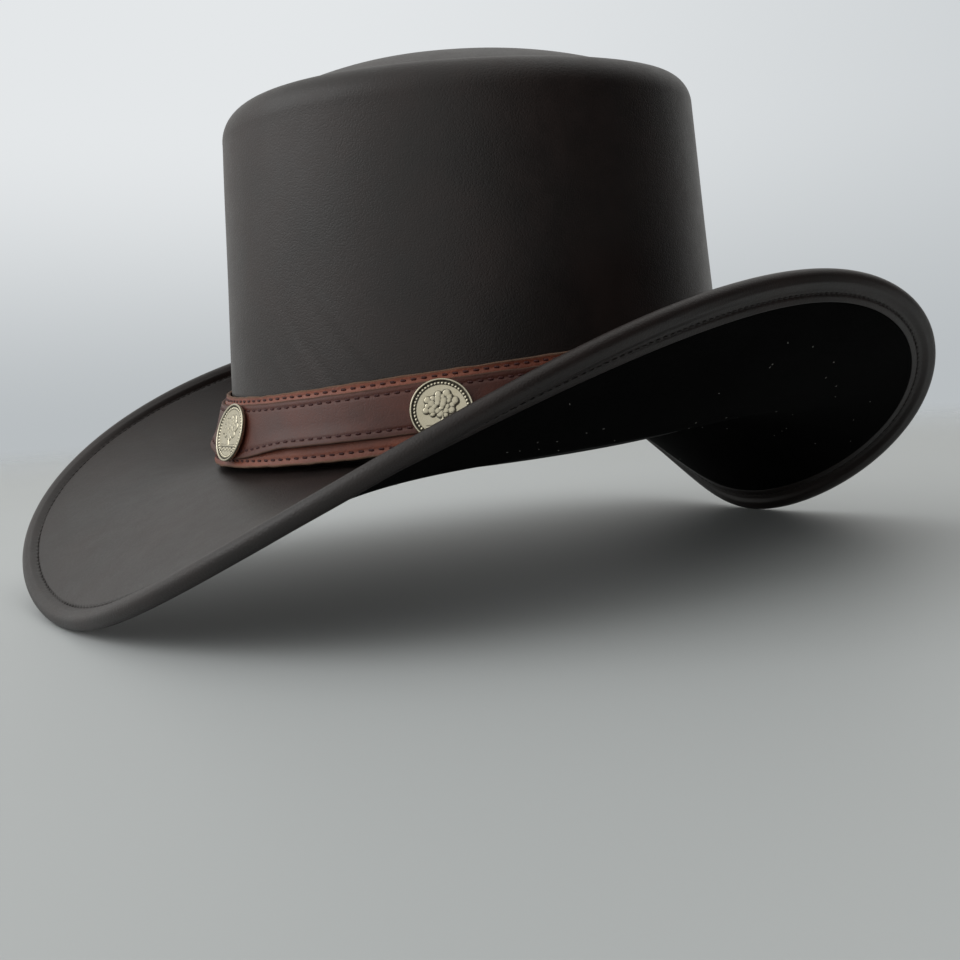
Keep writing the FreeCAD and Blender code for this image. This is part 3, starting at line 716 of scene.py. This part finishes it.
# --- Hatband strap ---------------------------------------------------------------------
# Reddish-brown bridle leather, 26 mm wide and 1.3 mm thick, lapped at the rear. Its edges
# are cut and left raw, so pale fibre shows, and it flares at the foot, most at the front.
band_bottom, band_sway = 0.0026, 0.0016
strap_width, strap = 0.026, 0.0013
band_fit_top = 0.0003
band_flare = (0.00265, 0.0026, 0.00175)
band_margin, strap_head_margin = 0.0024, 0.0018           # stitch lines from the edges
strap_row_low, strap_row_high = band_margin, strap_width - strap_head_margin
lap_half, lap_ramp = math.radians(7.0), math.radians(9.0)


def band_frame(angle):
    """Foot of the strap's inner face, and its unit directions up and outward."""
    bottom = band_bottom - band_sway * np.cos(2 * angle)
    foot = crown_point(angle, -cosines(band_flare, angle), bottom)
    head = crown_point(angle, -band_fit_top, bottom + strap_width)
    up = unit(head - foot)
    along = crown_point(angle + 0.009, 0.0, bottom) - crown_point(angle - 0.009, 0.0, bottom)
    return foot, up, unit(np.cross(along, up))


def lap_lift(turn):
    """How far the strap's upper end has climbed on to its lower end."""
    start = math.pi - lap_half - lap_ramp
    return (strap + joint_gap) * step(start, start + lap_ramp, turn)


def band_point(turn, height, depth):
    """Points of the band: height up the strap, depth outward from its inner face."""
    turn, height, depth = np.broadcast_arrays(turn, height, depth)
    foot, up, out = band_frame(turn)
    return foot + up * height[..., None] + out * (depth + lap_lift(turn))[..., None]


def wander(turn, seed, slow=4, fast=70):
    """Small irregular wave along the band, about one high."""
    draw = np.random.default_rng(seed)
    turns = np.unique(np.geomspace(slow, fast, 12).astype(int))
    return sum(np.cos(k * turn + draw.uniform(0, 2 * math.pi)) for k in turns) / math.sqrt(len(turns))


def strip_section(width, thick, rows):
    """Height, depth and cut-edge share of points round a strip's section. The outer face
    has a shallow groove under each row of stitches."""
    groove, groove_half = 0.0003, 0.0006
    corner, bare_edge = 0.0004, 0.0006
    swell, foot_gap = 0.00012, 0.0002
    bend = np.radians(np.linspace(0, 90, 5))
    inner = [(corner, 0.0, 0.0), (width / 2, 0.0, 0.0), (width - corner, 0.0, 0.0)]
    top = [(width - corner + corner * math.sin(b), thick - corner + corner * math.cos(b), 1.0)
           for b in bend[::-1]]
    face = []
    for height in np.linspace(width - corner, corner, 56)[1:-1]:
        sunk = sum(math.exp(-((height - row) / groove_half) ** 2) for row in rows)
        rounded = swell * math.sin(math.pi * height / width)
        near_edge = min(height, width - height)
        face.append((height, thick - groove * sunk + rounded, max(0.0, 1 - near_edge / bare_edge)))
    low = [(corner - corner * math.sin(b), thick - corner + corner * math.cos(b), 1.0) for b in bend]
    foot = [(0.0, thick / 2, 1.0), (0.0, foot_gap, 0.8)]
    head = [(width, foot_gap, 0.8), (width, thick / 2, 1.0)]
    return np.array(inner + head + top + face + low + foot)


def strip(name, surface, turns, section, finish, ragged, seed):
    """Strip of leather along the band: surface(turn, height, depth) places its section."""
    height, depth, edge = section[:, :1], section[:, 1:2], section[:, 2:]
    low_half = height < section[:, 0].max() / 2
    rough = np.where(low_half, wander(turns, seed), wander(turns, seed + 1)) * ragged * edge
    rows = surface(turns, height + rough, depth + 0.4 * ragged * edge * wander(turns, seed + 2, 20, 160))
    return skin(name, rows, finish, {"edge": edge}, round_hat=False)


strap_leather = leather_finish("strap_leather_raw_edge", tint(98, 46, 30), tint(140, 76, 53), 0.00009,
                               gloss=0.46, pore=1200.0, cut_fibre=tint(98, 84, 68))
strap_turns = np.linspace(-math.pi - lap_half, math.pi + lap_half, 1100)
strap_section = strip_section(strap_width, strap, (strap_row_low, strap_row_high))
band_strap = strip("hatband_strap", band_point, strap_turns, strap_section, strap_leather, 0.00016, 31)
fit(band_strap, "hatband", "band_strap")

# --- Hatband overlay -------------------------------------------------------------------
# Narrower strip of darker, smoother hide sewn along the strap's middle by its own two rows.
# Its lower edge has come up between the coins, and sags beside the front one.
overlay_width, overlay = 0.017, 0.0012
overlay_rise = 0.0057
overlay_near = strap + joint_gap
overlay_row_low, overlay_row_high = band_margin, overlay_width - band_margin
overlay_ends = (-math.pi + lap_half + math.radians(1.2), math.pi + lap_half - math.radians(1.2))
coin_count = 7
coin_crowding = 0.962                    # coins sit closer than evenly, to clear the lap
coin_height = 0.0122


def coin_places():
    """Angles that space the coins along the strap, the first at the front."""
    marks = np.radians(np.arange(1441) / 4.0)
    foot, _, _ = band_frame(marks)
    run = np.concatenate([[0.0], np.cumsum(np.linalg.norm(np.diff(foot, axis=0), axis=-1))])
    number = np.arange(coin_count)
    steps_round = np.minimum(number, coin_count - number)
    spots = np.interp(coin_crowding * run[-1] * steps_round / coin_count, run, marks)
    return np.where(steps_round == number, spots, -spots)


coin_angles = coin_places()


def overlay_point(turn, height, depth):
    """Points of the overlay, whose lower edge is lifted and sags between the coins."""
    turn, height, depth = np.broadcast_arrays(turn, height, depth)
    most_lifted, most_sag = 0.0013, 0.0028
    nearest = np.abs((turn[..., None] - coin_angles + math.pi) % (2 * math.pi) - math.pi).min(-1)
    free = step(math.radians(7), math.radians(22), nearest)
    low = 1 - step(0.0, overlay_width / 2, height)
    lifted = most_lifted * free * low ** 1.5
    sag = most_sag * (1 - step(math.radians(4), math.radians(24), np.abs(turn))) * low
    return band_point(turn, overlay_rise + height - sag, overlay_near + depth + lifted)


overlay_leather = leather_finish("overlay_leather_smooth", tint(60, 28, 20), tint(90, 44, 32), 0.00006,
                                 gloss=0.46, cut_fibre=tint(84, 62, 50))
overlay_turns = np.linspace(overlay_ends[0], overlay_ends[1], 1100)
overlay_section = strip_section(overlay_width, overlay, (overlay_row_low, overlay_row_high))
band_overlay = strip("hatband_overlay", overlay_point, overlay_turns, overlay_section, overlay_leather,
                     0.00010, 41)
fit(band_overlay, "hatband", "band_overlay")

# --- Hatband stitching -----------------------------------------------------------------
# Four rows of dark red waxed thread along the strap and overlay, 3.5 mm a stitch, and two
# upright rows through all layers that close the lap.
band_thread = thread_finish("band_thread_dark_red", tint(48, 12, 12), tint(72, 22, 20))
band_stitch, band_thick = 0.0024, 0.00085
band_pitch = 0.0035


def band_stitches(name, surface, height, depth, node):
    def line(turn):
        return surface(turn, height, depth)
    start, end = overlay_ends[0] + 0.01, overlay_ends[1] - 0.01
    turns = evenly(line, start, end, band_pitch)
    along = unit(line(turns + 0.005) - line(turns - 0.005))
    _, up, _ = band_frame(turns)
    made = stitches(name, line(turns), along, unit(np.cross(along, up)), band_thread,
                    length=band_stitch, thick=band_thick, slant=0.14)
    fit(made, "hatband", node)


thread_depth = -0.00022
for layer, surface, thick, rows in (("strap", band_point, strap, (strap_row_low, strap_row_high)),
                                    ("overlay", overlay_point, overlay, (overlay_row_low, overlay_row_high))):
    for place, height in zip(("lower", "upper"), rows):
        band_stitches("%s_stitches_%s" % (layer, place), surface, height, thick + thread_depth,
                      "%s_thread_%s" % (layer, place))

lap_row_angle, lap_row_foot, lap_row_margin = math.radians(4.5), 0.0040, 0.0035
lap_rows = math.pi + lap_row_angle * np.array((-1.0, 1.0))
lap_heights = np.arange(lap_row_foot, strap_width - lap_row_margin, band_pitch)
lap_turns, lap_up = [grid.ravel() for grid in np.meshgrid(lap_rows, lap_heights)]
on_overlay = (lap_up > overlay_rise) & (lap_up < overlay_rise + overlay_width)
lap_depth = strap + np.where(on_overlay, joint_gap + overlay, 0.0) + 0.0001
lap_centres = band_point(lap_turns, lap_up, lap_depth)
_, lap_along, lap_out = band_frame(lap_turns)
lap_stitches = stitches("lap_stitches", lap_centres, lap_along, lap_out, band_thread,
                        length=band_stitch, thick=band_thick)
fit(lap_stitches, "hatband", "lap_thread")

# --- Coins -----------------------------------------------------------------------------
# Struck discs of white metal with a worn silver plate, darkened in the hollows: a raised
# rim, a ring of beads, and a lone tree on a ground line, which is no mint's design.
coin_radius, coin_thick, coin_rim = 0.0106, 0.0009, 0.0003
thread_rise = 0.0006
back_depth = strap + overlay + joint_gap + thread_rise
relief_depth = 0.0006
coin_rings, coin_spokes = 60, 288
bead_count = 48


def lump(x, y, at_x, at_y, size):
    """Round-topped lump, 1 at its middle and 0 at its edge."""
    return np.sqrt(np.clip(1 - ((x - at_x) ** 2 + (y - at_y) ** 2) / size ** 2, 0.0, 1.0))


def coin_relief(x, y):
    """Height of the struck face, 0 to 1, over x and y from -1 to 1."""
    radius = np.hypot(x, y)
    turn = np.arctan2(y, x)
    rim = step(0.915, 0.945, radius)
    spacing = (turn * bead_count / (2 * math.pi)) % 1.0 - 0.5
    beads = 0.62 * np.sqrt(np.clip(1 - (spacing / 0.42) ** 2 - ((radius - 0.845) / 0.042) ** 2, 0, 1))
    ground = 0.5 * np.exp(-((y + 0.46) / 0.028) ** 2) * (1 - step(0.70, 0.74, radius))
    trunk_wide = 0.045 + 0.09 * step(-0.20, -0.46, y)
    trunk = 0.6 * np.clip(1 - (x / trunk_wide) ** 2, 0, 1) * step(-0.47, -0.44, y) * (1 - step(0.1, 0.2, y))
    crown = 0.0 * x
    leaf_clumps, golden_turn = 26, 2.39996
    for k in range(leaf_clumps):
        out = 0.40 * math.sqrt((k + 0.5) / leaf_clumps)
        spin = golden_turn * k
        size = 0.135 - 0.02 * (k % 3)
        top = 0.62 + 0.38 * (1 - out / 0.45)
        crown = np.maximum(crown, top * lump(x, y, 1.25 * out * math.cos(spin),
                                             0.17 + 0.92 * out * math.sin(spin), size))
    grass, grass_tufts = 0.0 * x, 9
    for k in range(grass_tufts):
        grass = np.maximum(grass, 0.4 * lump(x, y, -0.52 + 0.13 * k, -0.55 - 0.05 * (k % 2), 0.055))
    return np.maximum.reduce([rim, beads, ground, trunk, crown, grass])


def coin_mesh():
    """Mesh of a coin, whose back lies at zero height."""
    share = np.concatenate([np.linspace(0.01, 0.97, coin_rings), (0.985,)])[:, None]
    spoke = np.radians(np.arange(coin_spokes) * 360 / coin_spokes)
    x, y = share * np.cos(spoke), share * np.sin(spoke)
    relief = coin_relief(x, y)
    dished, struck = 0.0001, 0.75
    field = coin_thick - dished * (1 - share ** 2)
    edge = np.array([(0.996, 0.97), (1.0, 0.90), (1.0, 0.55), (1.0, 0.12), (0.985, 0.0), (0.02, 0.0)])
    reach = np.concatenate([share[:, 0], edge[:, 0]])[:, None] * coin_radius
    full = coin_thick + coin_rim
    height = np.concatenate([field + relief_depth * relief * struck, edge[:, 1:] * full + 0 * spoke])
    points = np.stack([reach * np.cos(spoke), reach * np.sin(spoke), height], -1)
    nearby = relief
    for _ in range(3):
        across = np.pad(nearby, ((1, 1), (0, 0)), "edge")
        nearby = (across[:-2] + across[2:] + np.roll(nearby, 2, 1) + np.roll(nearby, -2, 1)) / 4
    crevice = np.clip((nearby - relief) * 8, 0.0, 1.0)
    hollow = np.concatenate([crevice, np.zeros((len(edge), coin_spokes))])
    return points, hollow


def on_band(angle, height, depth, spin):
    """Directions and place of something fixed flat to the band."""
    _, up, out = band_frame(np.array(angle))
    side = np.cross(up, out)
    turned = side * math.cos(spin) + up * math.sin(spin)
    return turned, np.cross(out, turned), out, band_point(angle, height, depth)


coin_finish = Finish("coin_silver_antique")
hollow = coin_finish.mark("hollow")
tarnish = coin_finish.noise(420.0, 4.0, 0.6)
scuffs = coin_finish.noise(5200.0, 2.0, 0.6)
dirt = (hollow * 0.8 + tarnish * 0.5).between(0.34, 0.95)
plate = coin_finish.mix(tarnish, tint(186, 178, 151), tint(208, 202, 184))
coin_finish.surface(base_color=coin_finish.mix(dirt * 0.92, plate, tint(34, 29, 22)),
                    metallic=1 - dirt * 0.35, roughness=0.2 + dirt * 0.35 + scuffs * 0.12,
                    normal=coin_finish.bump(scuffs * 0.4 + tarnish * 0.6, 0.00004))
coin_spins = np.radians((0.0, 8.0, -14.0, 22.0, -6.0, 17.0, -9.0))
coin_points, coin_hollow = coin_mesh()
for number, (angle, spin) in enumerate(zip(coin_angles, coin_spins), 1):
    side, up, out, place = on_band(float(angle), coin_height, back_depth, float(spin))
    points = coin_points @ np.stack([side, up, out]) + place
    coin = skin("coin_%d_struck" % number, points, coin_finish, {"hollow": coin_hollow})
    fit(coin, "hatband", "coin_%d" % number)


def stood(directions, place):
    """Matrix that sets a thing at a place of the crown's frame, along three directions."""
    matrix = np.eye(4)
    matrix[:3, :3] = np.stack([stand(direction) - crown_foot for direction in directions], -1)
    matrix[:3, 3] = stand(place)
    return Matrix(matrix.tolist())


# Round recesses in the strap's inner face, in which the heads of the coins' screws are sunk.
recess_radius, recess_depth = 0.0041, 0.0007
recess_clear = 0.002                     # how far the cutter stands out of the strap
cutters = bmesh.new()
for angle in coin_angles:
    side, up, out, place = on_band(float(angle), coin_height, 0.0, 0.0)
    seat = stood((side, up, out), place + out * (recess_depth - recess_clear) / 2)
    bmesh.ops.create_cone(cutters, cap_ends=True, segments=48, radius1=recess_radius,
                          radius2=recess_radius, depth=recess_depth + recess_clear, matrix=seat)
cutter_mesh = bpy.data.meshes.new("recess_cutter")
cutters.to_mesh(cutter_mesh)
cutters.free()
cutter = bpy.data.objects.new("recess_cutter", cutter_mesh)
bpy.context.collection.objects.link(cutter)
carve = band_strap.modifiers.new("recesses", "BOOLEAN")
carve.operation, carve.solver, carve.object = "DIFFERENCE", "EXACT", cutter
bpy.context.view_layer.update()
carved = bpy.data.meshes.new_from_object(band_strap.evaluated_get(bpy.context.evaluated_depsgraph_get()))
band_strap.modifiers.clear()
crisp_from = math.radians(60)
carved.set_sharp_from_angle(angle=crisp_from)
band_strap.data = carved
bpy.data.objects.remove(cutter)

# Brass posts soldered behind the coins, and the screws that hold them from inside the band.
brass_finish = Finish("post_brass_turned")
brass_lines = brass_finish.noise(2200.0, 3.0, 0.6)
brass_finish.surface(base_color=brass_finish.mix(brass_lines, tint(150, 118, 58), tint(196, 160, 92)),
                     metallic=1.0, roughness=0.28 + brass_lines * 0.2,
                     normal=brass_finish.bump(brass_lines, 0.00004))
for number in range(1, coin_count + 1):
    for kind in ("coin_post_%d", "coin_screw_%d"):
        dress(kind % number, brass_finish)

# --- Floor and backdrop ----------------------------------------------------------------
# Pale matt floor under the standing hat, which fades into a pale surround. From below the
# floor is clear, so that the underside can be seen.
floor_reach, floor_fade = 1.5, 0.55      # its rim, and where it starts to fade
floor_gone = 0.95 * floor_reach
floor_finish = Finish("studio_floor")
floor_fleck = floor_finish.noise(3.0, 3.0)
floor_finish.surface(base_color=floor_finish.mix(floor_fleck, tint(186, 190, 190), tint(192, 196, 197)),
                     roughness=0.55,
                     alpha=(1 - floor_finish.node("NewGeometry", output="Backfacing"))
                     * (1 - floor_finish.node("VectorMath", {"operation": "LENGTH"},
                                              {0: floor_finish.where}, output="Value")
                        .between(floor_fade, floor_gone)))


def studio_shape(name, points, faces, finish):
    """Part of the studio, which is not part of the hat."""
    mesh = bpy.data.meshes.new(name)
    mesh.from_pydata(points, [], faces)
    mesh.materials.append(finish.material)
    thing = bpy.data.objects.new(name, mesh)
    bpy.context.collection.objects.link(thing)
    return thing


spoke_count, arc_count = 96, 30
spokes = np.radians(np.arange(spoke_count) * 360 / spoke_count)
studio_shape("studio_floor", [(floor_reach * math.cos(a), floor_reach * math.sin(a), 0.0) for a in spokes],
             [list(range(spoke_count))], floor_finish)

# The surround glows though it is no lamp, and only the camera sees it. Its glow is painted light: brighter towards
# the window side, and darker towards the floor.
surround_finish = Finish("studio_surround")
window_side = (-0.58, -0.81, 0.18)       # direction in which the surround is brightest
toward_window = surround_finish.node("VectorMath", {"operation": "DOT_PRODUCT"},
                                     {0: surround_finish.where, 1: window_side}, output="Value")
wall_painted_window_light = surround_finish.mix(toward_window.between(-floor_reach, 0.35 * floor_reach),
                                  tint(194, 199, 202), tint(228, 231, 233))
above_floor = surround_finish.node("SeparateXYZ", {}, {0: surround_finish.where}, output="Z")
surround_painted_light = surround_finish.mix(above_floor.between(0.0, 0.5), tint(184, 189, 192), wall_painted_window_light)
glow = surround_finish.node("Emission", {}, {"Color": surround_painted_light, "Strength": 1.0})
surround_output = surround_finish.tree.nodes["Material Output"]
surround_finish.tree.links.new(glow.socket, surround_output.inputs["Surface"])
arc = np.radians(np.linspace(-8, 88, arc_count))[:, None]
ball = floor_reach * 1.01
dome_points = np.stack([ball * np.cos(arc) * np.cos(spokes), ball * np.cos(arc) * np.sin(spokes),
                        ball * np.sin(arc) + 0 * spokes], -1)
ring_start = np.arange(arc_count - 1)[:, None] * spoke_count
this_spoke = np.arange(spoke_count)
next_spoke = (this_spoke + 1) % spoke_count
surround_faces = np.stack([ring_start + this_spoke, ring_start + next_spoke,
                           ring_start + spoke_count + next_spoke, ring_start + spoke_count + this_spoke], -1)
surround = studio_shape("studio_surround", dome_points.reshape(-1, 3).tolist(),
                        surround_faces.reshape(-1, 4).tolist(), surround_finish)
surround.visible_glossy = False
surround.visible_diffuse = False
surround.visible_shadow = False
surround.visible_transmission = False

# --- Camera ----------------------------------------------------------------------------
# Level with the band, from the wearer's left of the front, close enough for some
# perspective, and rolled a little as a hand holds it.
view_turn, view_rise, view_roll = math.radians(54.7), math.radians(7.85), math.radians(6.35)
view_distance = 0.4657
aim_across, aim_up = -0.0058, -0.0225
back = np.array((math.sin(view_turn) * math.cos(view_rise),
                 -math.cos(view_turn) * math.cos(view_rise), math.sin(view_rise)))
level = unit(np.cross(-back, (0.0, 0.0, 1.0)))
upright = np.cross(level, -back)
aim = np.array((0.0, 0.0, aim_up)) + level * aim_across
right = level * math.cos(view_roll) - upright * math.sin(view_roll)
above = upright * math.cos(view_roll) + level * math.sin(view_roll)
camera_data = bpy.data.cameras.new("camera")
camera_data.sensor_width = 36.0
camera_data.lens = 41.16
camera_data.clip_start = 0.02
camera = bpy.data.objects.new("camera", camera_data)
bpy.context.collection.objects.link(camera)
camera.matrix_world = stood((right, above, back), aim + back * view_distance)
bpy.context.scene.camera = camera

# --- Light -----------------------------------------------------------------------------
# A white room all round, which the satin leather mirrors softly, with one dim side to the
# right, and a large soft window light from the left.
room = bpy.data.worlds.new("studio_room")
bpy.context.scene.world = room
dim_side = stand(level * 0.95 + back * 0.31) - crown_foot
room_finish = Finish("studio_room", room)
toward = room_finish.node("VectorMath", {"operation": "DOT_PRODUCT"},
                          {0: room_finish.where, 1: unit(dim_side).tolist()}, output="Value")
dim = toward.between(0.35, 0.82)
room_colour = room_finish.mix(dim, (0.87, 0.87, 0.85, 1.0), (0.020, 0.020, 0.022, 1.0))
room_finish.feed(room_finish.tree.nodes["Background"], {"Color": room_colour, "Strength": 0.9})
bpy.context.scene.view_settings.view_transform = "Standard"

window = bpy.data.lights.new("window_light", "AREA")
window.shape = "RECTANGLE"
window.size, window.size_y = 1.2, 1.0
window.energy = 6.0
window_object = bpy.data.objects.new("window_light", window)
bpy.context.collection.objects.link(window_object)
window_place = stand(-level * 0.95 + back * 0.35 + np.array((0.0, 0.0, 0.75)))
window_object.location = window_place.tolist()
aim_line = crown_foot - window_place
window_object.rotation_mode = "QUATERNION"
window_object.rotation_quaternion = Vector(aim_line.tolist()).to_track_quat("-Z", "Y")
